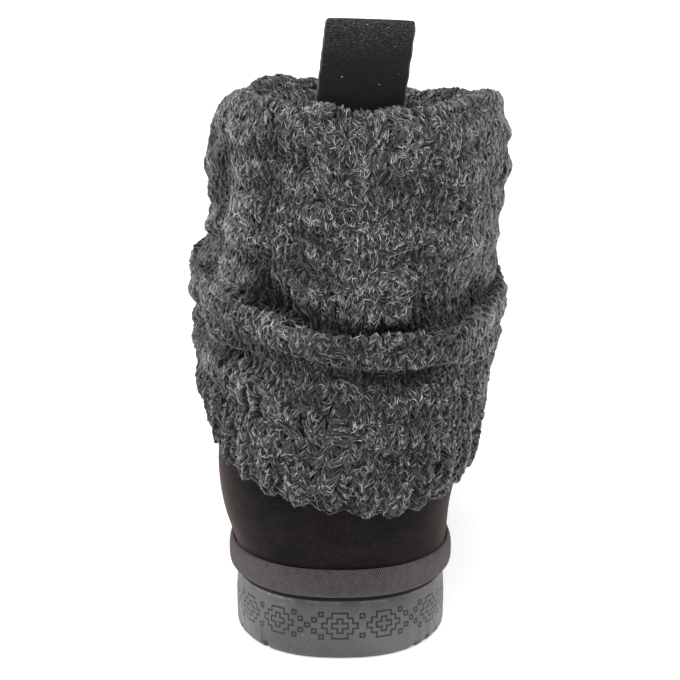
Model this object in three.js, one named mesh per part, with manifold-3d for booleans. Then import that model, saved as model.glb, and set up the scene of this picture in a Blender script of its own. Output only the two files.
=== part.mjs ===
// A left ankle boot: a suede upper on a rubber sole, a cloth tape round the joint, a knitted sleeve
// slouched round the shaft and turned in over its rim, and a pull loop at the back.
// Millimetres. The toe points along +Y, the outer side of the foot is -X, and the sole stands on z = 0.

import * as THREE from 'three';
import Module from 'manifold-3d';
import { mergeVertices } from 'three/addons/utils/BufferGeometryUtils.js';

const wasm = await Module();
wasm.setup();

// Sole
const soleLength = 262;
const heelWidth = 70;
const waistWidth = 61;
const ballWidth = 93;
const heelThickness = 21.8;
const ballThickness = 15;
const toeSpring = 9;
const archRise = 3.5;
const soleBevel = 1.4;

// Tread
const grooveWidth = 2.6;
const grooveDepth = 2;
const groovePitch = 11.5;
const grooveSlant = 0.16;
const longGrooveOffset = 2.8;

// Tape round the joint of upper and sole
const weltHeight = 8.6;
const weltProud = 2.5;

// Upper
const upperWall = 3;
const featherInset = 1.4;
const upperSwell = 6.5;
const rimDrop = 8.5;

// Knitted sleeve
const collarHeight = 179;
const collarWidth = 97;
const collarDepth = 113;
const collarSetback = 1.5;
const shaftLean = 6.4;
const knitWall = 3;

// Insole
const insoleThickness = 5;
const insoleFit = 0.6;

// Pull loop
const loopWidth = 28;
const loopThickness = 1.6;
const loopRise = 25;
const loopTuck = 22;
const loopRadius = 4.8;
const loopSway = 3.2;

// Every two neighbouring pieces keep this gap.
const clearance = 0.3;

// Steps round the boot, an even number so that left and right pair up
const soleSteps = 72;
const upperSteps = 56;

const lerp = THREE.MathUtils.lerp;
const ease = (from, to, value) => THREE.MathUtils.smoothstep(value, from, to);

// A smooth value at a place between a table's rows, which are ordered by their column "at".
function through(rows, place, column) {
  const last = rows.length - 1;
  let i = 0;
  while (i < last - 1 && place > rows[i + 1].at) i += 1;
  const chord = (a, b) => (rows[b][column] - rows[a][column]) / (rows[b].at - rows[a].at);
  const slope = (k) => chord(Math.max(0, k - 1), Math.min(last, k + 1));
  const span = rows[i + 1].at - rows[i].at;
  const u = THREE.MathUtils.clamp((place - rows[i].at) / span, 0, 1);
  const rest = 1 - u;
  return (1 + 2 * u) * rest * rest * rows[i][column]
    + u * u * (3 - 2 * u) * rows[i + 1][column]
    + u * rest * span * (rest * slope(i) - u * slope(i + 1));
}

// Plan of the last: centre line and half width at shares of the length
const planRows = [
  { name: 'heel end', at: 0, centre: 0, half: heelWidth * 0.5 },
  { name: 'heel seat', at: 0.18, centre: 0, half: heelWidth * 0.5 },
  { name: 'waist', at: 0.43, centre: ballWidth * -0.02, half: waistWidth * 0.5 },
  { name: 'ball', at: 0.7, centre: ballWidth * -0.01, half: ballWidth * 0.5 },
  { name: 'toe', at: 1, centre: ballWidth * 0.08, half: ballWidth * 0.47 },
];
const heelRound = { share: 0.17, power: 2.3 };
const toeRound = { share: 0.32, power: 2.15 };

// How much of the half width is left at a share of the length, because heel and toe are rounded off.
function rounding(share) {
  const back = Math.max(0, 1 - share / heelRound.share);
  const front = Math.max(0, 1 - (1 - share) / toeRound.share);
  return (1 - back ** heelRound.power) ** (1 / heelRound.power)
    * (1 - front ** toeRound.power) ** (1 / toeRound.power);
}

// "turn" runs round the boot: 0 at the heel, a quarter at the outer side, a half at the toe.
const lengthShare = (turn) => (1 - Math.cos(turn)) / 2;

function planPoint(turn) {
  const share = lengthShare(turn);
  const half = through(planRows, share, 'half') * rounding(share);
  const side = -Math.sign(Math.sin(turn));
  return new THREE.Vector2(through(planRows, share, 'centre') + side * half, share * soleLength);
}

// A point of the sole's outline, moved outwards.
function outline(turn, out) {
  const step = 0.02;
  const along = planPoint(turn + step).sub(planPoint(turn - step)).normalize();
  return planPoint(turn).add(new THREE.Vector2(-along.y, along.x).multiplyScalar(out));
}

// Side profile of the sole at shares of the length
const heelEnd = 0.27;
const waistAt = 0.42;
const treadFrom = 0.56;
const ballFrom = 0.68;
const springFrom = 0.76;

const springShare = (share) => (Math.max(0, share - springFrom) / (1 - springFrom)) ** 2;

function soleBottom(share) {
  const arch = ease(heelEnd, waistAt, share) * (1 - ease(waistAt, treadFrom, share));
  return archRise * arch + toeSpring * springShare(share);
}

function soleTop(share) {
  const slope = ease(heelEnd * 0.6, ballFrom, share);
  return lerp(heelThickness, ballThickness, slope) + toeSpring * springShare(share);
}

function geometryOf(points, triangles) {
  const geometry = new THREE.BufferGeometry().setFromPoints(points);
  geometry.setIndex(triangles);
  return geometry;
}

// Rows of points round the boot joined into a skin. Each row goes from heel to outer side to toe.
function skinTriangles(rows, steps, closed) {
  const triangles = [];
  const spans = closed ? rows : rows - 1;
  for (let r = 0; r < spans; r += 1) {
    for (let i = 0; i < steps; i += 1) {
      const low = r * steps;
      const high = ((r + 1) % rows) * steps;
      const next = (i + 1) % steps;
      triangles.push(low + i, high + i, high + next, low + i, high + next, low + next);
    }
  }
  return triangles;
}

// A lid of strips across a row of points, from the left side to the right one.
function lidTriangles(start, steps, facesUp) {
  const triangles = [];
  for (let i = 0; i < steps / 2; i += 1) {
    const left = start + i;
    const leftNext = start + i + 1;
    const right = start + ((steps - i) % steps);
    const rightNext = start + steps - i - 1;
    const found = [];
    if (i > 0) found.push([left, right, rightNext]);
    if (i < steps / 2 - 1) found.push([left, rightNext, leftNext]);
    found.forEach(([a, b, c]) => triangles.push(...(facesUp ? [a, b, c] : [a, c, b])));
  }
  return triangles;
}

const turns = (steps) => Array.from({ length: steps }, (_, i) => (i / steps) * 2 * Math.PI);

// A solid of rows of points with a lid below and one on top.
function lidded(rows, steps) {
  const top = (rows.length - 1) * steps;
  return geometryOf(rows.flat(), [
    ...lidTriangles(0, steps, false),
    ...skinTriangles(rows.length, steps, false),
    ...lidTriangles(top, steps, true),
  ]);
}

// A ring of rows of points that close on themselves.
function ringed(rows, steps) {
  return geometryOf(rows.flat(), skinTriangles(rows.length, steps, true));
}

// Outsole

const soleRows = [
  { name: 'tread edge', up: 0, bevels: 0, out: -1 },
  { name: 'wall foot', up: 0, bevels: 1, out: 0 },
  { name: 'wall middle', up: 0.5, bevels: 0, out: 0.1 },
  { name: 'wall head', up: 1, bevels: -0.7, out: -0.25 },
  { name: 'top edge', up: 1, bevels: 0, out: -1 },
];

function soleRow({ up, bevels, out }) {
  return turns(soleSteps).map((turn) => {
    const share = lengthShare(turn);
    const { x, y } = outline(turn, out * soleBevel);
    return new THREE.Vector3(x, y, lerp(soleBottom(share), soleTop(share), up) + bevels * soleBevel);
  });
}

function solidOf(geometry) {
  const bare = geometry.clone();
  bare.deleteAttribute('normal');
  bare.deleteAttribute('uv');
  const merged = mergeVertices(bare, 1e-4);
  return new wasm.Manifold(new wasm.Mesh({
    numProp: 3,
    vertProperties: merged.attributes.position.array,
    triVerts: new Uint32Array(merged.index.array),
  }));
}

function geometryFrom(solid) {
  const { vertProperties, triVerts } = solid.getMesh();
  const geometry = new THREE.BufferGeometry();
  geometry.setAttribute('position', new THREE.BufferAttribute(new Float32Array(vertProperties), 3));
  geometry.setIndex(new THREE.BufferAttribute(new Uint32Array(triVerts), 1));
  return geometry;
}

// A slot cut up into the tread: across the sole, or along it.
function groove(x, y, sizeX, sizeY, slant) {
  const reach = grooveDepth;
  const roof = soleBottom(y / soleLength) + grooveDepth;
  const box = new THREE.BoxGeometry(sizeX, sizeY, roof + reach);
  box.rotateZ(slant);
  box.translate(x, y, (roof - reach) / 2);
  return solidOf(box);
}

// Stretches of the tread at shares of the length: cross grooves fill each, and one groove runs along
// it as far as "long".
const treadZones = [
  { name: 'heel', from: 0.035, to: heelEnd, long: heelEnd },
  { name: 'forefoot', from: treadFrom, to: 0.95, long: springFrom },
];

function treadGrooves() {
  return treadZones.flatMap(({ from, to, long }) => {
    const start = from * soleLength;
    const count = Math.floor((to * soleLength - start) / groovePitch) + 1;
    const across = Array.from({ length: count }, (_, i) => (
      groove(0, start + (i + 0.5) * groovePitch, ballWidth * 1.5, grooveWidth, -grooveSlant)
    ));
    const longSize = long * soleLength - start;
    return [...across, groove(longGrooveOffset, start + longSize / 2, grooveWidth, longSize, 0)];
  });
}

function outsoleGeometry() {
  let sole = solidOf(lidded(soleRows.map(soleRow), soleSteps));
  treadGrooves().forEach((cut) => {
    sole = sole.subtract(cut);
  });
  return geometryFrom(sole);
}

// Upper

// The shaft's plan inside the knitted sleeve
const shaftHalfWidth = collarWidth / 2 - knitWall - clearance;
const shaftHalfDepth = collarDepth / 2 - knitWall - clearance;
const shaftMiddle = collarSetback + collarDepth / 2;
const rimHeight = collarHeight - rimDrop;
const feather = -featherInset / upperSwell;

// Rings of the upper from the sole's edge to the rim. "rise" is the share of the way up to the rim,
// "tube" how far a ring has turned from the sole's outline into the shaft's ellipse, and "out" how
// far it bulges, in swells. Each has a value for the back, the sides and the front.
const upperRows = [
  { at: 0, name: 'feather edge', riseBack: 0, riseSide: 0, riseFront: 0,
    tubeBack: 0, tubeSide: 0, tubeFront: 0, outBack: feather, outSide: feather, outFront: feather, lean: 0 },
  { at: 1, name: 'tape middle', riseBack: 0.03, riseSide: 0.03, riseFront: 0.03,
    tubeBack: 0, tubeSide: 0, tubeFront: 0, outBack: -0.08, outSide: -0.06, outFront: -0.06, lean: 0 },
  { at: 2, name: 'tape top', riseBack: 0.06, riseSide: 0.06, riseFront: 0.06,
    tubeBack: 0, tubeSide: 0, tubeFront: 0, outBack: 0.08, outSide: 0.12, outFront: 0.06, lean: 0 },
  { at: 3, name: 'wall', riseBack: 0.14, riseSide: 0.13, riseFront: 0.135,
    tubeBack: 0, tubeSide: 0.02, tubeFront: 0.012, outBack: 0.26, outSide: 0.7, outFront: 0.14, lean: -0.2 },
  { at: 4, name: 'toe crown', riseBack: 0.23, riseSide: 0.215, riseFront: 0.225,
    tubeBack: 0.04, tubeSide: 0.1, tubeFront: 0.1, outBack: 0.3, outSide: 1.4, outFront: -0.1, lean: -0.1 },
  { at: 5, name: 'vamp', riseBack: 0.32, riseSide: 0.3, riseFront: 0.29,
    tubeBack: 0.12, tubeSide: 0.25, tubeFront: 0.31, outBack: 0.2, outSide: 1.55, outFront: -0.4, lean: 0.1 },
  { at: 6, name: 'low instep', riseBack: 0.41, riseSide: 0.39, riseFront: 0.365,
    tubeBack: 0.28, tubeSide: 0.46, tubeFront: 0.55, outBack: 0.1, outSide: 1.4, outFront: -0.4, lean: 0.24 },
  { at: 7, name: 'instep', riseBack: 0.5, riseSide: 0.48, riseFront: 0.455,
    tubeBack: 0.5, tubeSide: 0.67, tubeFront: 0.765, outBack: 0, outSide: 0.9, outFront: -0.2, lean: 0.38 },
  { at: 8, name: 'ankle bend', riseBack: 0.61, riseSide: 0.6, riseFront: 0.58,
    tubeBack: 0.76, tubeSide: 0.86, tubeFront: 0.92, outBack: 0, outSide: 0, outFront: 0, lean: 0.48 },
  { at: 9, name: 'shaft', riseBack: 0.77, riseSide: 0.77, riseFront: 0.75,
    tubeBack: 0.95, tubeSide: 0.98, tubeFront: 0.985, outBack: 0, outSide: 0, outFront: 0, lean: 0.76 },
  { at: 10, name: 'rim', riseBack: 1, riseSide: 1, riseFront: 1,
    tubeBack: 1, tubeSide: 1, tubeFront: 1, outBack: 0, outSide: 0, outFront: 0, lean: 1 },
];
const lastRing = 10;

function upperPoint(turn, ring) {
  const back = Math.max(0, Math.cos(turn)) ** 2;
  const front = Math.max(0, -Math.cos(turn)) ** 2;
  const side = Math.sin(turn) ** 2;
  const mix = (column) => back * through(upperRows, ring, `${column}Back`)
    + side * through(upperRows, ring, `${column}Side`)
    + front * through(upperRows, ring, `${column}Front`);
  const foot = outline(turn, mix('out') * upperSwell);
  const tube = mix('tube');
  const lean = shaftLean * through(upperRows, ring, 'lean');
  return new THREE.Vector3(
    lerp(foot.x, -shaftHalfWidth * Math.sin(turn), tube) + lean,
    lerp(foot.y, shaftMiddle - shaftHalfDepth * Math.cos(turn), tube),
    lerp(soleTop(lengthShare(turn)) + clearance, rimHeight, mix('rise')),
  );
}

// The upper's outward direction
function upperNormal(turn, ring) {
  const step = 0.03;
  const low = Math.max(0, ring - step);
  const high = Math.min(lastRing, ring + step);
  const up = upperPoint(turn, high).sub(upperPoint(turn, low));
  const along = upperPoint(turn + step, ring).sub(upperPoint(turn - step, ring));
  return up.cross(along).normalize();
}

// A point at a height that stands off the upper's outer face. Above the rim it goes straight up.
function standOff(turn, height, distance) {
  const offset = (ring) => upperPoint(turn, ring).add(upperNormal(turn, ring).multiplyScalar(distance));
  let low = 0;
  let high = lastRing;
  for (let i = 0; i < 18; i += 1) {
    const middle = (low + high) / 2;
    if (offset(middle).z < height) low = middle;
    else high = middle;
  }
  return offset((low + high) / 2).setZ(height);
}

function upperGeometry() {
  const rings = [0, 1, 2, 2.5, 3, 3.5, 4, 4.5, 5, 5.5, 6, 6.5, 7, 7.5, 8, 8.5, 9, 9.5, lastRing];
  const outer = rings.map((ring) => turns(upperSteps).map((turn) => upperPoint(turn, ring)));
  const inner = rings.map((ring, r) => turns(upperSteps).map((turn, i) => {
    const point = outer[r][i].clone().addScaledVector(upperNormal(turn, ring), -upperWall);
    if (ring === 0 || ring === lastRing) point.z = outer[r][i].z;
    return point;
  }));
  return ringed([...outer, ...inner.reverse()], upperSteps);
}

// Tape: its outer face bulges past the sole, and its inner face follows the upper.

const weltRows = [
  { name: 'lower edge', up: 0, out: 0.45 },
  { name: 'lower shoulder', up: 0.12, out: 0.88 },
  { name: 'belly', up: 0.45, out: 1 },
  { name: 'upper shoulder', up: 0.8, out: 0.92 },
  { name: 'upper edge', up: 1, out: 0.6 },
];

function weltGeometry() {
  const foot = (turn) => soleTop(lengthShare(turn)) + clearance;
  const outer = weltRows.map(({ up, out }) => turns(upperSteps).map((turn) => {
    const { x, y } = outline(turn, out * weltProud);
    return new THREE.Vector3(x, y, foot(turn) + up * weltHeight);
  }));
  const inner = [1, 0.5, 0].map((up) => turns(upperSteps).map(
    (turn) => standOff(turn, foot(turn) + up * weltHeight, clearance),
  ));
  return ringed([...outer, ...inner], upperSteps);
}

// Insole

function insoleGeometry() {
  const inset = featherInset + upperWall + insoleFit;
  const rows = [
    { up: 0, out: 0 },
    { up: 0.75, out: 0 },
    { up: 1, out: -0.25 },
  ];
  return lidded(rows.map(({ up, out }) => turns(upperSteps).map((turn) => {
    const { x, y } = outline(turn, out * insoleThickness - inset);
    return new THREE.Vector3(x, y, soleTop(lengthShare(turn)) + clearance + up * insoleThickness);
  })), upperSteps);
}

// Knitted sleeve. Heights are shares of the collar's height at the back, outer side, front and
// inner side. "stand" is how far the face stands off the upper at the back, and "flare" how far at
// the sides, both in knit walls.

const sleeveRows = [
  { name: 'hem edge', back: 0.27, left: 0.4, front: 0.5, right: 0.39, stand: 0.5, flare: 0.5 },
  { name: 'hem', back: 0.28, left: 0.41, front: 0.51, right: 0.4, stand: 1, flare: 1.1 },
  { name: 'rib top', back: 0.345, left: 0.45, front: 0.55, right: 0.43, stand: 1.6, flare: 2.4 },
  { name: 'skirt', back: 0.44, left: 0.5, front: 0.6, right: 0.47, stand: 2.1, flare: 3.2 },
  { name: 'under roll', back: 0.528, left: 0.55, front: 0.64, right: 0.495, stand: 2.1, flare: 3 },
  { name: 'roll foot', back: 0.545, left: 0.575, front: 0.66, right: 0.513, stand: 2.8, flare: 3.2 },
  { name: 'roll belly', back: 0.575, left: 0.63, front: 0.695, right: 0.565, stand: 3.3, flare: 3.4 },
  { name: 'roll lip', back: 0.601, left: 0.675, front: 0.73, right: 0.625, stand: 2.8, flare: 2.8 },
  { name: 'crease', back: 0.578, left: 0.655, front: 0.708, right: 0.603, stand: 2, flare: 1.9 },
  { name: 'crease mouth', back: 0.612, left: 0.688, front: 0.745, right: 0.637, stand: 1.4, flare: 1.3 },
  { name: 'low shaft', back: 0.7, left: 0.77, front: 0.8, right: 0.73, stand: 1.35, flare: 1.15 },
  { name: 'high shaft', back: 0.84, left: 0.85, front: 0.86, right: 0.84, stand: 1.2, flare: 1.1 },
  { name: 'collar side', back: 0.945, left: 0.915, front: 0.935, right: 0.93, stand: 1, flare: 1 },
  { name: 'shoulder', back: 0.983, left: 0.957, front: 0.972, right: 0.972, stand: 0.5, flare: 0.5 },
];
const crownHeights = { back: 1, left: 0.98, front: 0.99, right: 0.992 };
const shoulderHeights = sleeveRows[sleeveRows.length - 1];
const turnInSide = 0.94;
const turnInEnd = 0.83;
const backFaceRows = [
  'high shaft', 'low shaft', 'crease mouth', 'under roll', 'skirt', 'rib top', 'hem', 'hem edge',
];

// The sleeve's lowest place lies this much to the inner side of the back.
const slouchTurn = 0.2;
const slouched = (turn) => turn + slouchTurn * (1 + Math.cos(turn)) / 2;

// How much of the side's value a turn takes: it comes on sooner behind the side than ahead of it.
function sideShare(turn) {
  const place = slouched(turn);
  return Math.abs(Math.sin(place)) ** (Math.cos(place) > 0 ? 1.8 : 2.5);
}

// A height round the boot, from the four that a row gives.
function heightAt(turn, { back, left, front, right }) {
  const place = slouched(turn);
  const nearer = Math.cos(place) > 0 ? back : front;
  const side = Math.sin(place) > 0 ? left : right;
  return collarHeight * lerp(nearer, side, sideShare(turn));
}

function sleeveGeometry() {
  const row = (heightOf, distance) => turns(upperSteps).map(
    (turn) => standOff(turn, heightOf(turn), distance),
  );
  const face = (each, less) => turns(upperSteps).map((turn) => {
    const walls = Math.max(0.1, lerp(each.stand, each.flare, sideShare(turn)) - less);
    return standOff(turn, heightAt(turn, each), clearance + walls * knitWall);
  });
  const byName = (name) => sleeveRows.find((each) => each.name === name);
  const level = (share) => () => share * collarHeight;
  const overRim = () => rimHeight + clearance;
  const innerBack = -upperWall - clearance;
  const outer = sleeveRows.map((each) => face(each, 0));
  const crown = row((turn) => heightAt(turn, crownHeights), -upperWall / 2);
  const turnIn = [
    row((turn) => heightAt(turn, shoulderHeights), innerBack - 0.5 * knitWall),
    row(level(turnInSide), innerBack - knitWall),
    row(level((turnInSide + turnInEnd) / 2), innerBack - knitWall),
    row(level(turnInEnd), innerBack - 0.9 * knitWall),
    row(level(turnInEnd), innerBack),
    row(overRim, innerBack),
    row(overRim, clearance),
  ];
  const backFace = backFaceRows.map((name) => face(byName(name), 1));
  return ringed([...outer, crown, ...turnIn, ...backFace], upperSteps);
}

// Pull loop: a strap folded over itself, tucked down inside the collar at the back.

// The strap's middle line from its outer end up, over the fold and down to its inner end. "ahead"
// is measured forward from the outer leg, in loop radii, and "up" from the crown, in loop rises.
const loopRows = [
  { ahead: 0, down: 1, up: 0 },
  { ahead: 0, down: 0.5, up: 0 },
  { ahead: 0, down: 0, up: 0.08 },
  { ahead: -0.12, down: 0, up: 0.4 },
  { ahead: -0.2, down: 0, up: 0.72 },
];
const foldSteps = 6;
const strapColumns = 7;

function loopPath() {
  const legGap = loopThickness + clearance;
  const point = ({ ahead, down, up }, shift) => new THREE.Vector2(
    ahead * loopRadius + shift,
    collarHeight - down * loopTuck + up * loopRise,
  );
  const outerLeg = loopRows.map((each) => point(each, 0));
  const top = outerLeg[outerLeg.length - 1];
  const bend = loopRise * (1 - loopRows[loopRows.length - 1].up) - loopThickness / 2;
  const fold = Array.from({ length: foldSteps - 1 }, (_, k) => {
    const angle = Math.PI * ((k + 1) / foldSteps);
    return new THREE.Vector2(
      top.x + loopRadius * (1 - Math.cos(angle)),
      top.y + bend * Math.sin(angle),
    );
  });
  const innerLeg = [...loopRows].reverse().map((each) => {
    const spread = lerp(legGap, 2 * loopRadius, ease(0, 0.72, each.up));
    return point(each, spread);
  });
  return [...outerLeg, ...fold, ...innerLeg];
}

function loopGeometry() {
  const path = loopPath();
  const faceHalfWidth = shaftHalfWidth - upperWall - clearance - knitWall;
  const faceHalfDepth = shaftHalfDepth - upperWall - clearance - knitWall;
  const legFront = shaftMiddle - faceHalfDepth + 2 * clearance + loopThickness / 2;
  const points = [];
  [1, -1].forEach((side) => path.forEach((here, k) => {
    const before = path[Math.max(0, k - 1)];
    const after = path[Math.min(path.length - 1, k + 1)];
    const along = after.clone().sub(before).normalize();
    const free = THREE.MathUtils.clamp((here.y - collarHeight) / loopRise, 0, 1);
    for (let j = 0; j < strapColumns; j += 1) {
      const across = (j / (strapColumns - 1) - 0.5) * loopWidth;
      const bow = faceHalfDepth * (1 - Math.sqrt(1 - (across / faceHalfWidth) ** 2));
      points.push(new THREE.Vector3(
        shaftLean + across + loopSway * free,
        legFront + here.x - along.y * side * (loopThickness / 2) + bow * (1 - 0.85 * free),
        here.y + along.x * side * (loopThickness / 2),
      ));
    }
  }));
  const columns = strapColumns;
  const sheet = path.length * columns;
  const triangles = [];
  const quad = (a, b, c, d) => triangles.push(a, b, c, a, c, d);
  for (let k = 0; k < path.length - 1; k += 1) {
    const low = k * columns;
    const high = (k + 1) * columns;
    for (let j = 0; j < columns - 1; j += 1) {
      quad(low + j, low + j + 1, high + j + 1, high + j);
      quad(sheet + low + j + 1, sheet + low + j, sheet + high + j, sheet + high + j + 1);
    }
    const end = columns - 1;
    quad(low, high, sheet + high, sheet + low);
    quad(high + end, low + end, sheet + low + end, sheet + high + end);
  }
  const last = (path.length - 1) * columns;
  for (let j = 0; j < columns - 1; j += 1) {
    quad(j + 1, j, sheet + j, sheet + j + 1);
    quad(last + j, last + j + 1, sheet + last + j + 1, sheet + last + j);
  }
  return geometryOf(points, triangles);
}

const rubber = { color: 0x47474a, roughness: 0.55, metalness: 0 };
const cloth = { color: 0x393436, roughness: 0.9, metalness: 0 };
const suede = { color: 0x1d1a19, roughness: 0.95, metalness: 0 };
const wool = { color: 0x565559, roughness: 1, metalness: 0 };
const strap = { color: 0x211f1f, roughness: 0.8, metalness: 0 };
const pile = { color: 0x2c2b2c, roughness: 1, metalness: 0 };

function piece(name, geometry, finish) {
  const mesh = new THREE.Mesh(geometry, new THREE.MeshStandardMaterial(finish));
  mesh.name = name;
  return mesh;
}

const boot = new THREE.Group();
boot.add(
  piece('outsole', outsoleGeometry(), rubber),
  piece('insole', insoleGeometry(), pile),
  piece('upper', upperGeometry(), suede),
  piece('welt_tape', weltGeometry(), cloth),
  piece('knit_sleeve', sleeveGeometry(), wool),
  piece('pull_loop', loopGeometry(), strap),
);

// The origin is on the floor, under the middle of the boot's box.
const middle = new THREE.Box3().setFromObject(boot).getCenter(new THREE.Vector3());
boot.position.set(-middle.x, -middle.y, 0);

export default boot;
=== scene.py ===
# A left ankle boot seen from behind: black suede on a rubber sole, with a marled knitted sleeve
# slouched round its shaft. The camera and the studio are in metres. The boot's lengths are in
# millimetres until a mesh is made.

import bpy
import functools
import numpy as np
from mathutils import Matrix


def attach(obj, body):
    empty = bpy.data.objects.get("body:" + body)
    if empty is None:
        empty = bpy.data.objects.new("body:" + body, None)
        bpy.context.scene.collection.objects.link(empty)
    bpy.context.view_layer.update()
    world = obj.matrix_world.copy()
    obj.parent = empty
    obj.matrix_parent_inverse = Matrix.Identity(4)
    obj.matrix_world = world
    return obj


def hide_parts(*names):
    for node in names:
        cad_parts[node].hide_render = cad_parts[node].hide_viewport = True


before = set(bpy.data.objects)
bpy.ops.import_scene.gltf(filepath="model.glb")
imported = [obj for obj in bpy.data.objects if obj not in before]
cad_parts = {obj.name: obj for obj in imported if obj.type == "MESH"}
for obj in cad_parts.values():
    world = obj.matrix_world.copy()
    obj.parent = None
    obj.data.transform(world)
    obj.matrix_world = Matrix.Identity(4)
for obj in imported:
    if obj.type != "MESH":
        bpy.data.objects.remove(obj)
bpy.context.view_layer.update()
bpy.ops.object.select_all(action="DESELECT")
rng = np.random.default_rng(41)


# The picture
# The camera stands behind the boot at the height of its pull loop and looks a little down.

camera_place = (-0.00151, -0.72863, 0.240)
camera_tilt = 12.6
camera_lens = 104.4

bpy.ops.object.camera_add(location=camera_place, rotation=(np.radians(90 - camera_tilt), 0, 0))
camera = bpy.context.object
camera.data.lens = camera_lens
camera.data.sensor_width = 36
bpy.context.scene.camera = camera
bpy.context.scene.view_settings.view_transform = "Standard"


# Studio
# A pale matt floor that runs out of sight, a bright even surround, and three large soft lamps.


class Field:
    """A number that changes over a surface. Arithmetic on it adds Math nodes."""

    def __init__(self, finish, socket):
        self.finish = finish
        self.socket = socket

    def math(self, operation, *values):
        return self.finish.node("Math", {"operation": operation}, dict(enumerate(values)))

    def __add__(self, other):
        return self.math("ADD", self, other)

    def __sub__(self, other):
        return self.math("SUBTRACT", self, other)

    def __rsub__(self, other):
        return self.math("SUBTRACT", other, self)

    def __mul__(self, other):
        return self.math("MULTIPLY", self, other)

    def __mod__(self, other):
        return self.math("FLOORED_MODULO", self, other)

    def __abs__(self):
        return self.math("ABSOLUTE", self)

    __radd__ = __add__
    __rmul__ = __mul__

    def least(self, other):
        return self.math("MINIMUM", self, other)

    def most(self, other):
        return self.math("MAXIMUM", self, other)

    def sine(self):
        return self.math("SINE", self)

    def ease(self, low, high):
        """0 below low, 1 above high, and smooth between."""
        return self.finish.node(
            "MapRange",
            {"interpolation_type": "SMOOTHSTEP"},
            {"Value": self, "From Min": low, "From Max": high},
        )


class Finish:
    """A material and its nodes."""

    def __init__(self, name):
        self.material = bpy.data.materials.new(name)
        self.material.use_nodes = True
        self.tree = self.material.node_tree
        self.tree.nodes.clear()
        self.place = self.node("TexCoord", output="Object")

    def node(self, kind, settings=None, sockets=None, output=0):
        made = self.tree.nodes.new("ShaderNode" + kind)
        for key, value in (settings or {}).items():
            setattr(made, key, value)
        for key, value in (sockets or {}).items():
            if isinstance(value, Field):
                self.tree.links.new(value.socket, made.inputs[key])
            else:
                made.inputs[key].default_value = value
        return Field(self, made.outputs[output])

    def noise(self, scale, detail=2.0, vector=None, roughness=0.5):
        sockets = {"Vector": vector or self.place, "Scale": scale, "Detail": detail,
                   "Roughness": roughness}
        return self.node("TexNoise", None, sockets)

    def stretched(self, vector, x, y, z):
        return self.node("VectorMath", {"operation": "MULTIPLY"}, {0: vector, 1: (x, y, z)})

    def parts(self, vector):
        return [self.node("SeparateXYZ", None, {"Vector": vector}, axis) for axis in range(3)]

    def blend(self, amount, first, second):
        """Goes from the first colour to the second."""
        return self.node("Mix", {"data_type": "RGBA"}, {0: amount, 6: first, 7: second}, 2)

    def relief(self, height, depth, under=None):
        """A bump of this many millimetres."""
        sockets = {"Height": height, "Distance": depth / 1000, "Strength": 1.0}
        if under:
            sockets["Normal"] = under
        return self.node("Bump", None, sockets)

    def surface(self, **sockets):
        named = {key.replace("_", " "): value for key, value in sockets.items()}
        shader = self.node("BsdfPrincipled", None, named)
        end = self.tree.nodes.new("ShaderNodeOutputMaterial")
        self.tree.links.new(shader.socket, end.inputs["Surface"])
        return self.material


def shade(red, green, blue):
    """A colour from the picture's 0 to 255 values."""
    given = np.array([red, green, blue]) / 255
    linear = np.where(given <= 0.04045, given / 12.92, ((given + 0.055) / 1.055) ** 2.4)
    return (*linear, 1.0)


floor_size = 400
floor_gap = 0.00005
bpy.ops.mesh.primitive_plane_add(size=floor_size, location=(0, 0, -floor_gap))
floor = bpy.context.object
floor.name = "studio_floor"
paper = Finish("pale_paper")
floor.data.materials.append(paper.surface(
    Base_Color=paper.blend(paper.noise(3.0), shade(232, 232, 234), shade(238, 238, 238)),
    Roughness=0.85,
    Emission_Color=(1.0, 1.0, 1.0, 1.0),
    Emission_Strength=0.44,
))

world = bpy.data.worlds.new("surround")
world.use_nodes = True
world.node_tree.nodes["Background"].inputs["Color"].default_value = (1.0, 1.0, 1.0, 1.0)
world.node_tree.nodes["Background"].inputs["Strength"].default_value = 0.27
bpy.context.scene.world = world


def lamp(name, leftwards, upwards, softness, strength):
    """A far soft lamp, given by its angles from straight behind the boot, in degrees."""
    turned = (np.radians(90 - upwards), 0, np.radians(-leftwards))
    bpy.ops.object.light_add(type="SUN", rotation=turned)
    made = bpy.context.object
    made.name = name
    made.data.angle = np.radians(softness)
    made.data.energy = strength


lamp("lamp_above", leftwards=12, upwards=64, softness=45, strength=1.86)
lamp("lamp_left", leftwards=104, upwards=32, softness=50, strength=2.15)
lamp("lamp_right", leftwards=-104, upwards=32, softness=50, strength=2.0)


# Outsole
# One moulding of dark satin rubber with a cross-cut tread. A line of stepped crosses and small
# squares is engraved round its wall.

# From the maker's frame, which starts at the back of the heel, to the part's frame
centring = np.array([-1.51, -128.63, 0.0])
sole_length = 262
heel_width = 70
waist_width = 61
ball_width = 93
heel_thickness = 21.8
ball_thickness = 15
toe_spring = 9
clearance = 0.3

# Shares of the length: where heel and toe round off, the top drops, and the toe springs up
heel_round, heel_power = 0.17, 2.3
toe_round, toe_power = 0.32, 2.15
drop_from, drop_to = 0.27 * 0.6, 0.68
spring_from = 0.76


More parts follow.
